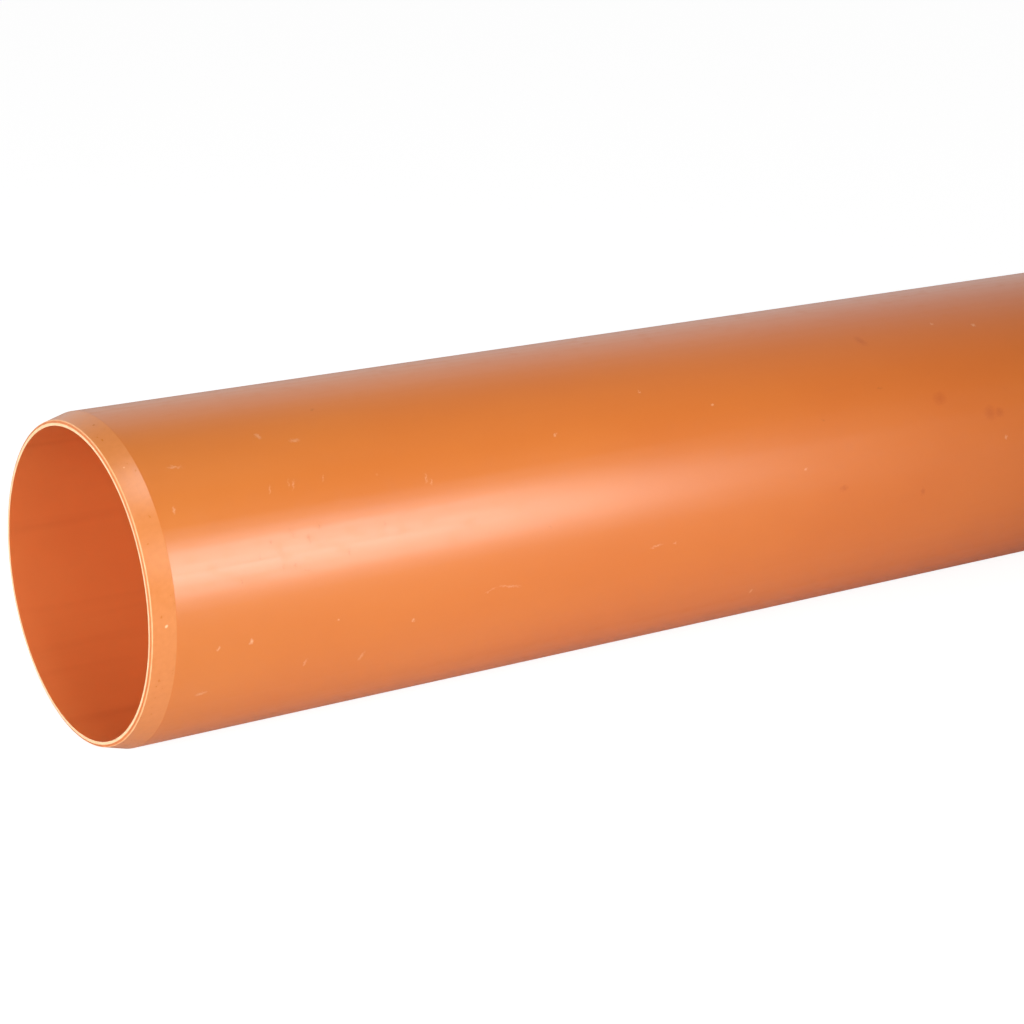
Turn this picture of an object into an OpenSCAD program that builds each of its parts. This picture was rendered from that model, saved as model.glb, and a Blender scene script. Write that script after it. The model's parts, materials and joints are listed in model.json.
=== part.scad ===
// Plain-ended plastic sewer pipe, lying on the ground with its length along X.
// The origin is on the ground, below the middle of the pipe.

/* [Pipe] */
// Outside diameter of the barrel
outer_d = 110; // [75:1:200]
// Wall thickness of the barrel
wall_t = 3.8; // [3:0.1:8]
// Length from one sawn end to the other
pipe_l = 1000; // [500:10:6000]

/* [Spigot ends] */
// Length of the lead-in chamfer along the pipe, from the sawn end to the barrel
chamfer_l = 7.8; // [4:0.1:20]
// Wall left at the tip, where the chamfer meets the small bevel
tip_t = 1.8; // [1.4:0.1:2.6]
// Length along the pipe of the small bevel between the sawn face and the chamfer
bevel_l = 0.4; // [0.2:0.1:1]
// Width of the flat sawn ring next to the bore
face_w = 0.9; // [0.4:0.1:1.2]

/* [Hidden] */
outer_r = outer_d / 2;
bore_r = outer_r - wall_t;

// Corners of a spigot end, from the bore outward, each as [radius, distance from the sawn end]
spigot = [
    [bore_r, 0],
    [bore_r + face_w, 0],
    [bore_r + tip_t, bevel_l],
    [outer_r, chamfer_l]
];

// Section through the wall, with the radius along X and the pipe's length along Y
module wall_section() {
    last = len(spigot) - 1;
    far_end = [for (i = [last : -1 : 0]) [spigot[i][0], pipe_l - spigot[i][1]]];
    polygon(concat(spigot, far_end));
}

module pipe() {
    color("#da7e36")
        translate([-pipe_l / 2, 0, outer_r])
            rotate([0, 90, 0])
                rotate_extrude($fn = 180)
                    wall_section();
}

pipe();
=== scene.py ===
import json
import math

import bpy
import numpy as np
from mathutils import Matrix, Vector


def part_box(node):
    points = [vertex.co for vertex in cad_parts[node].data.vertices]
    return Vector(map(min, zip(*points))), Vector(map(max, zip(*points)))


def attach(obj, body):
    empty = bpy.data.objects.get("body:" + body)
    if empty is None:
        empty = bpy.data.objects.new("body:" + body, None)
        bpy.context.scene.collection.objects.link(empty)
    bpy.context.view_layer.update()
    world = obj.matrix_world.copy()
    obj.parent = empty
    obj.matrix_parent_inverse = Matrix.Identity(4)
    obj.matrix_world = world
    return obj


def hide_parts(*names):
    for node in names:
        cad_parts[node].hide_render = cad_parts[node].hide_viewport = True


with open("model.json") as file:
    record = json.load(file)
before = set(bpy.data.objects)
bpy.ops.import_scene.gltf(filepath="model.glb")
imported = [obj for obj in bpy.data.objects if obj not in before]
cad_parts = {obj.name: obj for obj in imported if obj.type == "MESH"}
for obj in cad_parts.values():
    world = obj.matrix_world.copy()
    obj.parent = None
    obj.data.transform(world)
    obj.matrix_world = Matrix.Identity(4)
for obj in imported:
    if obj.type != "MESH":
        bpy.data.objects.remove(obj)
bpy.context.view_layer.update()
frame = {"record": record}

# Sizes of the pipe in metres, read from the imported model
LOW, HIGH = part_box("pipe")
MOUNT_DIMS = {mount["name"]: mount["dims"] for mount in frame["record"]["mounts"]}
MM = 0.001
LENGTH = HIGH.x - LOW.x
OUTER_R = (HIGH.z - LOW.z) / 2
BORE_R = MOUNT_DIMS["bore"]["r_mm"] * MM
CHAMFER_L = (LENGTH - MOUNT_DIMS["barrel"]["length_mm"] * MM) / 2
NEAR_END = Vector((LOW.x, 0.0, (LOW.z + HIGH.z) / 2))

# The spigot's small sizes, as in the solid
FACE_W = 0.9 * MM
TIP_T = 1.8 * MM
BEVEL_L = 0.4 * MM

# Rounding of the edges: bore edge, face to bevel, tip, chamfer to barrel
EDGE_ROUNDS = (0.12 * MM, 0.12 * MM, 0.5 * MM, 0.6 * MM)
ROUND_STEPS = 4
SEGMENTS = 256
RING_PITCH = 20 * MM

# The surfaces of the wall, each with a finish of its own
ZONES = ("barrel", "chamfer", "rim", "bevel", "face", "bore")

# Rows of the bake's map: the share of its height that each zone gets, and the margin between them
BAKE_ROWS = {"barrel": 0.44, "bore": 0.39, "chamfer": 0.03, "rim": 0.01, "bevel": 0.01, "face": 0.012}
BAKE_MARGIN = 0.004

# The photograph's view: the eye from the near end's centre, its direction and its lens
EYE_FROM_NEAR_END = Vector((-0.34796, -0.76278, 0.25872))
VIEW_DIRECTION = Vector((0.53937, 0.79658, -0.27304))
LENS_MM = 95.23
SENSOR_MM = 36.0
CLIP_NEAR, CLIP_FAR = 0.01, 200.0

# Index of refraction that gives the highlight its strength in the photo
PVC_IOR = 1.58

# Noise of each finish, in cells a metre along the pipe and round it
DIE_LINES = (1.5, 420.0)
SCUFFS = (160.0, 240.0)
SKIN_MOTTLE = (14.0, 26.0)
TURNING_LINES = (2600.0, 9.0)
CHAMFER_GRAIN = (500.0, 420.0)
SAW_STREAKS = (2000.0, 260.0)
BORE_STREAKS = (5.0, 90.0)
BORE_MOTTLE = (30.0, 40.0)

# Steps of detail in the noises, and in the two that differ from the rest
DETAIL = 3.0
SCUFF_DETAIL = 4.0
TURNING_DETAIL = 2.0

# The part of a noise's range over which a finish goes from one tone, or gloss, to the other
TONE_BAND = (0.3, 0.7)
SAW_BAND = (0.32, 0.68)
DIE_LINE_BAND = (0.25, 0.75)
SCUFF_BAND = (0.52, 0.75)
STREAK_BAND = (0.52, 0.72)

# Two tones of each surface, and the colours of its marks
# The barrel's two skins are painted light: the paler one near the brightly lit near end, the deeper orange
# one where the light falls off
SKIN_PAINTED_LIT = ((0.628, 0.176, 0.03, 1), (0.648, 0.19, 0.033, 1))
SKIN_PAINTED_DIM = ((0.675, 0.165, 0.028, 1), (0.695, 0.177, 0.031, 1))
CHAMFER_TONES = ((0.625, 0.203, 0.051, 1), (0.665, 0.226, 0.061, 1))
# The rounded tip's pale cream is a painted highlight along the edge
RIM_PAINTED_HIGHLIGHT = ((0.82, 0.38, 0.15, 1), (0.9, 0.5, 0.25, 1))
BEVEL_TONES = ((0.62, 0.16, 0.032, 1), (0.72, 0.2, 0.04, 1))
# The sawn face's cream is partly the cut's own paler tone and partly a painted highlight
FACE_TONES_AND_PAINTED_HIGHLIGHT = ((0.88, 0.54, 0.28, 1), (0.94, 0.66, 0.4, 1))
# The bore's tones are painted light: lighter than the skin's to stand in for light reaching inside
BORE_PAINTED_LIGHT_TONES = ((0.825, 0.206, 0.0525, 1), (0.85, 0.2215, 0.0567, 1))
SMUDGE_COLOUR = (0.5, 0.085, 0.015, 1)
DARK_COLOUR = (0.4, 0.1, 0.02, 1)
LIGHT_COLOUR = (0.92, 0.6, 0.38, 1)
TORN_COLOUR = (0.95, 0.66, 0.42, 1)
STREAK_COLOUR = (0.69, 0.152, 0.0357, 1)

# Distances from the near end over which the skin goes from its paler to its deeper orange: painted light,
# paler where the lamps light the near end strongly and deeper where their light falls off along the pipe
PAINTED_LIGHT_FALLOFF = (0.02, 0.36)

# How much of a mark's colour shows
SMUDGE_SHARE = 0.4
DARK_SHARE = 0.35
LIGHT_SHARE = 0.45
NICK_SHARE = 0.6
STRAY_SHARE = 0.4
TORN_SHARE = 0.6
STREAK_SHARE = 0.4

# Roughness of the surfaces, and what scuffs and marks add to the barrel's
BARREL_ROUGHNESS = (0.28, 0.37)
SCUFF_ROUGHNESS = 0.06
MARK_ROUGHNESS = 0.1
CHAMFER_ROUGHNESS = (0.27, 0.36)
RIM_ROUGHNESS = 0.5
BEVEL_ROUGHNESS = 0.45
FACE_ROUGHNESS = 0.65
BORE_ROUGHNESS = (0.36, 0.44)

# Depth of the fine relief
DIE_LINE_DEPTH = 0.004 * MM
TURNING_DEPTH = 0.009 * MM
BORE_LINE_DEPTH = 0.006 * MM

# Scattered specks: the pitch, the greatest size and the share of the places that have one
STRAY_SPECKS = (45 * MM, 1.3 * MM, 0.3)
TORN_SPECKS = (5.5 * MM, 0.8 * MM, 0.5)
SPECK_EDGE = 0.3

# Torn edges of the marks: the shaking noise's cells a metre, detail, middle and reach
TORN_CELLS = 1100.0
TORN_DETAIL = 2.0
TORN_MIDDLE = (0.5, 0.5, 0.5)
TORN_REACH = 2.2 * MM

# The share of a mark's size over which it has its full strength
MARK_CORE = 0.2

# Marks on the barrel: mm from the near end, degrees from the top to the front, length, width, tilt
SPECKS = (
    (22.4, 101.3, 1.2, 2.0, 20), (34.0, 101.3, 1.6, 2.2, 0), (93.9, 105.9, 1.8, 1.4, 0),
    (157.5, 49.4, 2.2, 1.3, -30), (198.7, 37.7, 1.5, 1.3, 0), (225.2, 47.9, 1.9, 1.3, 20),
    (257.7, 77.7, 1.7, 1.5, 0), (242.7, 128.0, 1.4, 2.6, -25), (354.6, 79.9, 1.9, 1.5, 0),
    (359.9, 31.2, 1.8, 2.6, -35), (341.9, 27.0, 1.6, 2.2, -35), (65.3, 99.6, 1.6, 1.0, 0),
)
NICKS = (
    (103.6, 57.2, 0.8, 4.4, 18), (105.2, 58.6, 1.0, 2.6, 14), (56.2, 51.6, 0.7, 5.0, 20),
    (54.8, 50.8, 0.5, 3.4, 20), (47.6, 52.0, 0.6, 4.2, 20), (67.2, 51.0, 0.5, 3.6, 20),
    (131.0, 100.0, 11.0, 0.7, 9), (123.2, 100.2, 6.0, 0.5, -16), (191.2, 95.9, 7.0, 0.8, -10),
    (199.2, 96.2, 2.0, 1.0, 0), (19.5, 38.0, 6.0, 1.4, 8), (63.5, 35.0, 4.5, 2.0, 0),
    (52.3, 30.6, 2.0, 3.0, -30), (13.7, 53.2, 1.0, 4.0, 18), (76.5, 117.0, 1.6, 5.0, 20),
    (18.8, 118.7, 5.0, 1.6, -10), (55.0, 114.5, 1.0, 4.0, 15),
)
DARK_NICKS = (
    (54.1, 80.3, 3.4, 0.7, 5), (42.9, 69.2, 0.8, 2.6, 10), (51.0, 67.6, 0.7, 4.4, -15),
    (50.4, 78.0, 0.8, 3.4, 0), (46.2, 77.9, 0.8, 2.8, 0), (61.0, 67.0, 0.8, 3.0, 0),
    (76.5, 21.8, 2.6, 1.4, -30), (123.1, 79.6, 1.4, 0.9, 0), (84.5, 69.8, 0.7, 2.6, 0),
    (31.0, 80.0, 0.8, 2.6, 0), (147.0, 81.4, 1.2, 1.0, 0), (269.8, 61.2, 2.0, 1.6, 20),
    (300.2, 52.7, 3.0, 1.4, 0), (56.5, 70.0, 0.6, 5.0, -5), (70.0, 77.0, 0.8, 3.0, 0),
    (38.5, 73.0, 0.6, 3.6, 5),
)
SMUDGES = (
    (304.4, 30.4, 5.0, 7.0, -25), (348.5, 69.6, 7.0, 7.0, 0), (353.0, 70.0, 6.0, 4.5, 0),
    (326.0, 60.6, 8.0, 6.0, 0), (275.0, 87.8, 5.0, 3.0, 0), (313.3, 95.3, 3.0, 4.0, 0),
)

# The floor: its white as it lights the pipe, in mirror images and to the eye, and its lift to the eye
FLOOR_HALF = 40.0
FLOOR_WHITE = 0.9
FLOOR_MIRRORED = 0.8
FLOOR_SEEN = 0.3
FLOOR_LIFT = 0.9
WHITE = (1, 1, 1, 1)

# Brightness of the room: its white back, its dim front and its ceiling, which begins at these heights
BACK_LIGHT = 0.9
FRONT_LIGHT = 0.03
CEILING_LIGHT = 0.04
CEILING_FROM, CEILING_TO = 0.55, 0.86
BACK_EDGE = 0.35

# Lamps: name, place and aim in metres from the near end, size, brightness and the grid's angle in degrees
LAMPS = (
    ("strip", (0.51, -0.95, 0.24), (-0.016, 0.0, 0.0), (0.424, 0.58), 13.2, 60.6),
    ("side", (-2.2, -1.12, 0.54), (0.0, 0.0, 0.0), (1.4, 0.72), 21.0, 120.0),
    ("key", (-0.1, -0.98, 0.45), (0.0, 0.0, 0.0), (0.3, 0.4), 3.0, 80.0),
    ("overhead", (0.03, -0.28, 1.0), (0.06, 0.0, 0.0), (0.3, 0.5), 6.0, 70.0),
)


def rounded(corners, steps):
    """Replaces each corner (x, r, radius) of a closed profile with an arc, one list of points a corner."""
    arcs = []
    for k, (x, r, radius) in enumerate(corners):
        here = Vector((x, r))
        before = Vector(corners[k - 1][:2])
        after = Vector(corners[(k + 1) % len(corners)][:2])
        back = (before - here).normalized()
        ahead = (after - here).normalized()
        half = back.angle(ahead) / 2
        reach = radius / math.tan(half)
        centre = here + (back + ahead).normalized() * radius / math.sin(half)
        start = here + back * reach - centre
        turn = math.pi - 2 * half
        sign = math.copysign(1.0, back.x * ahead.y - back.y * ahead.x)
        arc = []
        for i in range(steps + 1):
            angle = -sign * turn * i / steps
            cos, sin = math.cos(angle), math.sin(angle)
            arc.append(centre + Vector((start.x * cos - start.y * sin, start.x * sin + start.y * cos)))
        arcs.append(arc)
    return arcs


def wall_profile():
    """Closed section of the wall as points (x from the near end, radius), and the zone after each point."""
    near = [
        (0.0, BORE_R),
        (0.0, BORE_R + FACE_W),
        (BEVEL_L, BORE_R + TIP_T),
        (CHAMFER_L, OUTER_R),
    ]
    far = [(LENGTH - x, r) for x, r in reversed(near)]
    rounds = EDGE_ROUNDS + EDGE_ROUNDS[::-1]
    corners = [(x, r, radius) for (x, r), radius in zip(near + far, rounds)]
    after = ("face", "bevel", "chamfer", "barrel", "chamfer", "bevel", "face", "bore")
    arc_zone = ("face", "face", "rim", "barrel", "barrel", "rim", "face", "face")
    arcs = rounded(corners, ROUND_STEPS)
    points, zones = [], []
    for k, arc in enumerate(arcs):
        points += arc
        zones += [arc_zone[k]] * (len(arc) - 1) + [after[k]]
        following = arcs[(k + 1) % len(arcs)][0]
        run = following - arc[-1]
        rings = int(run.length // RING_PITCH)
        supports = [EDGE_ROUNDS[-1], run.length - EDGE_ROUNDS[-1]] if rings else []
        stations = sorted(supports + [run.length * i / rings for i in range(1, rings)])
        points += [arc[-1] + run.normalized() * at for at in stations]
        zones += [after[k]] * len(stations)
    return points, zones


def zone_runs(zones):
    """Stretches of the profile that share a zone, as (first point, last point, zone)."""
    runs = []
    first = 0
    for k in range(1, len(zones) + 1):
        if k == len(zones) or zones[k] != zones[first]:
            runs.append((first, k, zones[first]))
            first = k
    return runs


def lathe_pipe():
    """The whole pipe as one turned mesh, with a map in metres for its marks and one laid out for baking."""
    points, zones = wall_profile()
    rows = len(points)
    angles = (np.arange(SEGMENTS) / SEGMENTS - 0.5) * 2 * math.pi
    xs = np.array([p.x for p in points])
    rs = np.array([p.y for p in points])
    vertices = np.zeros((rows, SEGMENTS, 3))
    vertices[:, :, 0] = NEAR_END.x + xs[:, None]
    vertices[:, :, 1] = -rs[:, None] * np.sin(angles)
    vertices[:, :, 2] = NEAR_END.z + rs[:, None] * np.cos(angles)
    lengths = np.hypot(np.diff(np.append(xs, xs[0])), np.diff(np.append(rs, rs[0])))
    path = np.append(0.0, np.cumsum(lengths))
    faces, slots, surface, bake = [], [], [], []
    level = BAKE_MARGIN
    for first, last, zone in zone_runs(zones):
        height = BAKE_ROWS[zone]
        for k in range(first, last):
            after = (k + 1) % rows
            for j in range(SEGMENTS):
                beside = (j + 1) % SEGMENTS
                here, there = k * SEGMENTS, after * SEGMENTS
                faces.append((here + j, here + beside, there + beside, there + j))
                slots.append(ZONES.index(zone))
                for row, turn in ((k, j), (k, j + 1), (k + 1, j + 1), (k + 1, j)):
                    around = turn / SEGMENTS
                    across = (path[row] - path[first]) / (path[last] - path[first])
                    surface.append((xs[row % rows], (around - 0.5) * 2 * math.pi * rs[row % rows]))
                    if zone in ("barrel", "bore"):
                        bake.append((across, level + around * height))
                    else:
                        bake.append((around, level + across * height))
        level += height + BAKE_MARGIN
    mesh = bpy.data.meshes.new("pipe_body")
    mesh.from_pydata(vertices.reshape(-1, 3).tolist(), [], faces)
    mesh.polygons.foreach_set("material_index", slots)
    mesh.polygons.foreach_set("use_smooth", [True] * len(faces))
    mesh.uv_layers.new(name="Surface").data.foreach_set("uv", np.array(surface, np.float32).ravel())
    mesh.uv_layers.new(name="OFBake").data.foreach_set("uv", np.array(bake, np.float32).ravel())
    mesh.update()
    return mesh


class Shader:
    """A material's node tree with short ways to add nodes and link them."""

    def __init__(self, name):
        self.material = bpy.data.materials.new(name)
        self.material.use_nodes = True
        self.tree = self.material.node_tree
        self.surface = self.tree.nodes["Principled BSDF"]
        self.shaken = None

    def add(self, kind, inputs=(), **settings):
        """A new node, with its properties set and its inputs, by name or number, set or linked."""
        made = self.tree.nodes.new("ShaderNode" + kind)
        for name, value in settings.items():
            setattr(made, name, value)
        for key, value in dict(inputs).items():
            if isinstance(value, bpy.types.NodeSocket):
                self.tree.links.new(value, made.inputs[key])
            else:
                made.inputs[key].default_value = value
        return made

    def drive(self, socket, value):
        """Sets a socket of the surface shader, or links a node's output to it."""
        if isinstance(value, bpy.types.NodeSocket):
            self.tree.links.new(value, self.surface.inputs[socket])
        else:
            self.surface.inputs[socket].default_value = value

    def math(self, operation, first, second):
        """One sum of two values."""
        return self.add("Math", {0: first, 1: second}, operation=operation).outputs[0]

    def vector(self, operation, first, inputs):
        """One sum of two vectors, or of a vector and a number."""
        return self.add("VectorMath", {0: first, **inputs}, operation=operation).outputs[0]

    def ranged(self, value, low, high, to_low=0.0, to_high=1.0):
        """A value mapped from one range to another, clamped."""
        inputs = {0: value, 1: low, 2: high, 3: to_low, 4: to_high}
        return self.add("MapRange", inputs).outputs[0]

    def mixed(self, factor, first, second):
        """Two colours mixed by a factor."""
        made = self.add("Mix", {0: factor, 6: first, 7: second}, data_type="RGBA")
        return made.outputs[2]

    def covered(self, colour, mask, share, mark_colour):
        """A colour with a mark's colour over it, at a share of the mask."""
        return self.mixed(self.math("MULTIPLY", mask, share), colour, mark_colour)

    def place(self):
        """Coordinates on the unrolled surface in metres: along the pipe and round it from the top."""
        return self.add("UVMap", uv_map="Surface").outputs[0]

    def noise(self, cells, detail=DETAIL):
        """Noise from 0 to 1 over the unrolled surface, with so many cells a metre along and round."""
        mapped = self.add("Mapping", {"Vector": self.place(), "Scale": (*cells, 1.0)}).outputs[0]
        return self.add("TexNoise", {"Vector": mapped, "Scale": 1.0, "Detail": detail}).outputs["Fac"]

    def bumped(self, height, distance):
        """A normal bent by a height."""
        return self.add("Bump", {"Height": height, "Distance": distance}).outputs[0]

    def specks(self, pitch, size, share):
        """Scattered round specks: about one a pitch, of a greatest size, in a share of the places."""
        cells = self.add("TexVoronoi", {"Vector": self.place(), "Scale": 1.0 / pitch})
        lot = self.add("SeparateColor", {0: cells.outputs["Color"]})
        kept = self.ranged(lot.outputs[0], 1.0 - share, 1.0, 0.0, size / pitch)
        inside = self.math("SUBTRACT", kept, cells.outputs["Distance"])
        return self.ranged(inside, 0.0, SPECK_EDGE * size / pitch)

    def ragged(self):
        """The unrolled surface's coordinates shaken by a fine noise, which gives marks torn edges."""
        if not self.shaken:
            inputs = {"Vector": self.place(), "Scale": TORN_CELLS, "Detail": TORN_DETAIL}
            fine = self.add("TexNoise", inputs).outputs["Color"]
            off = self.vector("SUBTRACT", fine, {1: TORN_MIDDLE})
            reach = self.vector("SCALE", off, {"Scale": TORN_REACH})
            self.shaken = self.vector("ADD", self.place(), {1: reach})
        return self.shaken

    def mark(self, along, angle, length, width, tilt):
        """One lens-shaped mark on the barrel: its place in mm and degrees, its size in mm and its tilt."""
        inputs = {
            "Vector": self.ragged(),
            "Location": (along * MM, math.radians(angle) * OUTER_R, 0.0),
            "Rotation": (0.0, 0.0, math.radians(tilt)),
            "Scale": (length * MM / 2, width * MM / 2, 1.0),
        }
        local = self.add("Mapping", inputs, vector_type="TEXTURE").outputs[0]
        far = self.add("VectorMath", {0: local}, operation="LENGTH").outputs["Value"]
        return self.ranged(far, 1.0, MARK_CORE)

    def marks(self, listed):
        """Several marks in one mask."""
        mask = self.mark(*listed[0])
        for one in listed[1:]:
            mask = self.math("MAXIMUM", mask, self.mark(*one))
        return mask


def barrel_material():
    """Satin extruded outside: die lines along the pipe, slow mottling, uneven gloss, nicks and specks, with
    painted light that makes the skin paler near the brightly lit near end.
    """
    s = Shader("pvc_barrel")
    lines = s.noise(DIE_LINES)
    scuffs = s.noise(SCUFFS, SCUFF_DETAIL)
    blotch = s.ranged(s.noise(SKIN_MOTTLE), *TONE_BAND)
    light = s.math("MAXIMUM", s.marks(SPECKS), s.math("MULTIPLY", s.marks(NICKS), NICK_SHARE))
    light = s.math("MAXIMUM", light, s.math("MULTIPLY", s.specks(*STRAY_SPECKS), STRAY_SHARE))
    dark = s.marks(DARK_NICKS)
    # Painted light: the skin is paler near the brightly lit near end and deeper orange further along
    along = s.add("SeparateXYZ", {0: s.place()}).outputs["X"]
    colour = s.mixed(s.ranged(along, *PAINTED_LIGHT_FALLOFF), s.mixed(blotch, *SKIN_PAINTED_LIT), s.mixed(blotch, *SKIN_PAINTED_DIM))
    colour = s.covered(colour, s.marks(SMUDGES), SMUDGE_SHARE, SMUDGE_COLOUR)
    colour = s.covered(colour, dark, DARK_SHARE, DARK_COLOUR)
    colour = s.covered(colour, light, LIGHT_SHARE, LIGHT_COLOUR)
    gloss = s.ranged(lines, *DIE_LINE_BAND, *BARREL_ROUGHNESS)
    gloss = s.math("ADD", gloss, s.ranged(scuffs, *SCUFF_BAND, 0.0, SCUFF_ROUGHNESS))
    worn = s.math("MULTIPLY", s.math("MAXIMUM", light, dark), MARK_ROUGHNESS)
    s.drive("Base Color", colour)
    s.drive("Roughness", s.math("ADD", gloss, worn))
    s.drive("Normal", s.bumped(lines, DIE_LINE_DEPTH))
    s.drive("IOR", PVC_IOR)
    return s.material


def chamfer_material():
    """Turned chamfer, paler than the skin, with fine turning lines and torn specks."""
    s = Shader("pvc_chamfer")
    grain = s.noise(CHAMFER_GRAIN)
    colour = s.mixed(s.ranged(grain, *TONE_BAND), *CHAMFER_TONES)
    s.drive("Base Color", s.covered(colour, s.specks(*TORN_SPECKS), TORN_SHARE, TORN_COLOUR))
    s.drive("Roughness", s.ranged(grain, *TONE_BAND, *CHAMFER_ROUGHNESS))
    s.drive("Normal", s.bumped(s.noise(TURNING_LINES, TURNING_DETAIL), TURNING_DEPTH))
    s.drive("IOR", PVC_IOR)
    return s.material


def cut_material(name, tones, roughness):
    """Sawn edge: two tones in short streaks round the end. On the rim the pale cream is a painted highlight;
    on the face it is partly the cut's own paler tone and partly a painted highlight.
    """
    s = Shader(name)
    s.drive("Base Color", s.mixed(s.ranged(s.noise(SAW_STREAKS), *SAW_BAND), *tones))
    s.drive("Roughness", roughness)
    s.drive("IOR", PVC_IOR)
    return s.material


def bore_material():
    """Smooth extruded inside with faint streaks along the pipe, its orange painted lighter than the skin's:
    painted light that stands in for light reaching into the bore.
    """
    s = Shader("pvc_bore_painted_light")
    streaks = s.noise(BORE_STREAKS)
    colour = s.mixed(s.ranged(s.noise(BORE_MOTTLE), *TONE_BAND), *BORE_PAINTED_LIGHT_TONES)
    s.drive("Base Color", s.mixed(s.ranged(streaks, *STREAK_BAND, 0.0, STREAK_SHARE), colour, STREAK_COLOUR))
    s.drive("Roughness", s.ranged(streaks, *TONE_BAND, *BORE_ROUGHNESS))
    s.drive("Normal", s.bumped(streaks, BORE_LINE_DEPTH))
    s.drive("IOR", PVC_IOR)
    return s.material


def make_pipe():
    """The dressed pipe, which stands for the solid."""
    pipe = bpy.data.objects.new("pipe_body", lathe_pipe())
    bpy.context.scene.collection.objects.link(pipe)
    finishes = {
        "barrel": barrel_material(),
        "chamfer": chamfer_material(),
        # The rounded tip's pale cream is a painted edge highlight
        "rim": cut_material("pvc_rim_painted_highlight", RIM_PAINTED_HIGHLIGHT, RIM_ROUGHNESS),
        "bevel": cut_material("pvc_bevel", BEVEL_TONES, BEVEL_ROUGHNESS),
        # The face's cream is partly the cut's own paler tone and partly a painted highlight
        "face": cut_material("pvc_face_and_painted_highlight", FACE_TONES_AND_PAINTED_HIGHLIGHT, FACE_ROUGHNESS),
        "bore": bore_material(),
    }
    for zone in ZONES:
        pipe.data.materials.append(finishes[zone])
    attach(pipe, "root")
    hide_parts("pipe")


def make_floor():
    """A white floor that keeps the shadow; to the eye it is a dimmer white with an even lift."""
    mesh = bpy.data.meshes.new("floor")
    h = FLOOR_HALF
    mesh.from_pydata([(-h, -h, 0), (h, -h, 0), (h, h, 0), (-h, h, 0)], [], [(0, 1, 2, 3)])
    floor = bpy.data.objects.new("floor", mesh)
    bpy.context.scene.collection.objects.link(floor)
    s = Shader("floor_white")
    path = s.add("LightPath")
    seen = path.outputs["Is Camera Ray"]
    white = s.ranged(path.outputs["Is Glossy Ray"], 0.0, 1.0, FLOOR_WHITE, FLOOR_MIRRORED)
    s.drive("Base Color", s.ranged(seen, 0.0, 1.0, white, FLOOR_SEEN))
    s.drive("Emission Strength", s.math("MULTIPLY", seen, FLOOR_LIFT))
    s.drive("Emission Color", WHITE)
    s.drive("Roughness", 1.0)
    s.drive("Specular IOR Level", 0.0)
    mesh.materials.append(s.material)


def make_world():
    """A room with a white back wall and a dim front and ceiling, plain white where it is looked at."""
    world = bpy.data.worlds.new("studio")
    bpy.context.scene.world = world
    world.use_nodes = True
    tree = world.node_tree
    place = tree.nodes.new("ShaderNodeTexCoord")
    split = tree.nodes.new("ShaderNodeSeparateXYZ")
    walls = tree.nodes.new("ShaderNodeMapRange")
    room = tree.nodes.new("ShaderNodeMapRange")
    path = tree.nodes.new("ShaderNodeLightPath")
    seen = tree.nodes.new("ShaderNodeMath")
    seen.operation = "MAXIMUM"
    for node, values in (
        (walls, (-BACK_EDGE, BACK_EDGE, FRONT_LIGHT, BACK_LIGHT)),
        (room, (CEILING_FROM, CEILING_TO, 0.0, CEILING_LIGHT)),
    ):
        node.interpolation_type = "SMOOTHSTEP"
        for key, value in enumerate(values, 1):
            node.inputs[key].default_value = value
    tree.links.new(place.outputs["Generated"], split.inputs[0])
    tree.links.new(split.outputs["Y"], walls.inputs[0])
    tree.links.new(split.outputs["Z"], room.inputs[0])
    tree.links.new(walls.outputs[0], room.inputs[3])
    tree.links.new(room.outputs[0], seen.inputs[0])
    tree.links.new(path.outputs["Is Camera Ray"], seen.inputs[1])
    tree.links.new(seen.outputs[0], tree.nodes["Background"].inputs["Strength"])
    tree.nodes["Background"].inputs["Color"].default_value = WHITE


def make_area(name, place, aim, size, radiance, spread):
    """A softbox: its place and aim from the near end, size, brightness and the angle of its grid."""
    data = bpy.data.lights.new(name, "AREA")
    data.shape = "RECTANGLE"
    data.size, data.size_y = size
    half = math.radians(spread) / 2
    data.energy = radiance * math.pi * size[0] * size[1] * (1 - half / math.tan(half))
    data.spread = 2 * half
    light = bpy.data.objects.new(name, data)
    light.location = NEAR_END + Vector(place)
    light.rotation_euler = (Vector(aim) - Vector(place)).to_track_quat("-Z", "Y").to_euler()
    light.visible_camera = False
    bpy.context.scene.collection.objects.link(light)


def make_camera():
    """The photograph's view."""
    data = bpy.data.cameras.new("view")
    data.lens = LENS_MM
    data.sensor_width = SENSOR_MM
    data.clip_start, data.clip_end = CLIP_NEAR, CLIP_FAR
    camera = bpy.data.objects.new("view", data)
    camera.location = NEAR_END + EYE_FROM_NEAR_END
    camera.rotation_euler = VIEW_DIRECTION.to_track_quat("-Z", "Y").to_euler()
    bpy.context.scene.collection.objects.link(camera)
    bpy.context.scene.camera = camera


make_camera()
make_world()
make_floor()
for lamp in LAMPS:
    make_area(*lamp)
make_pipe()
bpy.context.scene.view_settings.view_transform = "Standard"
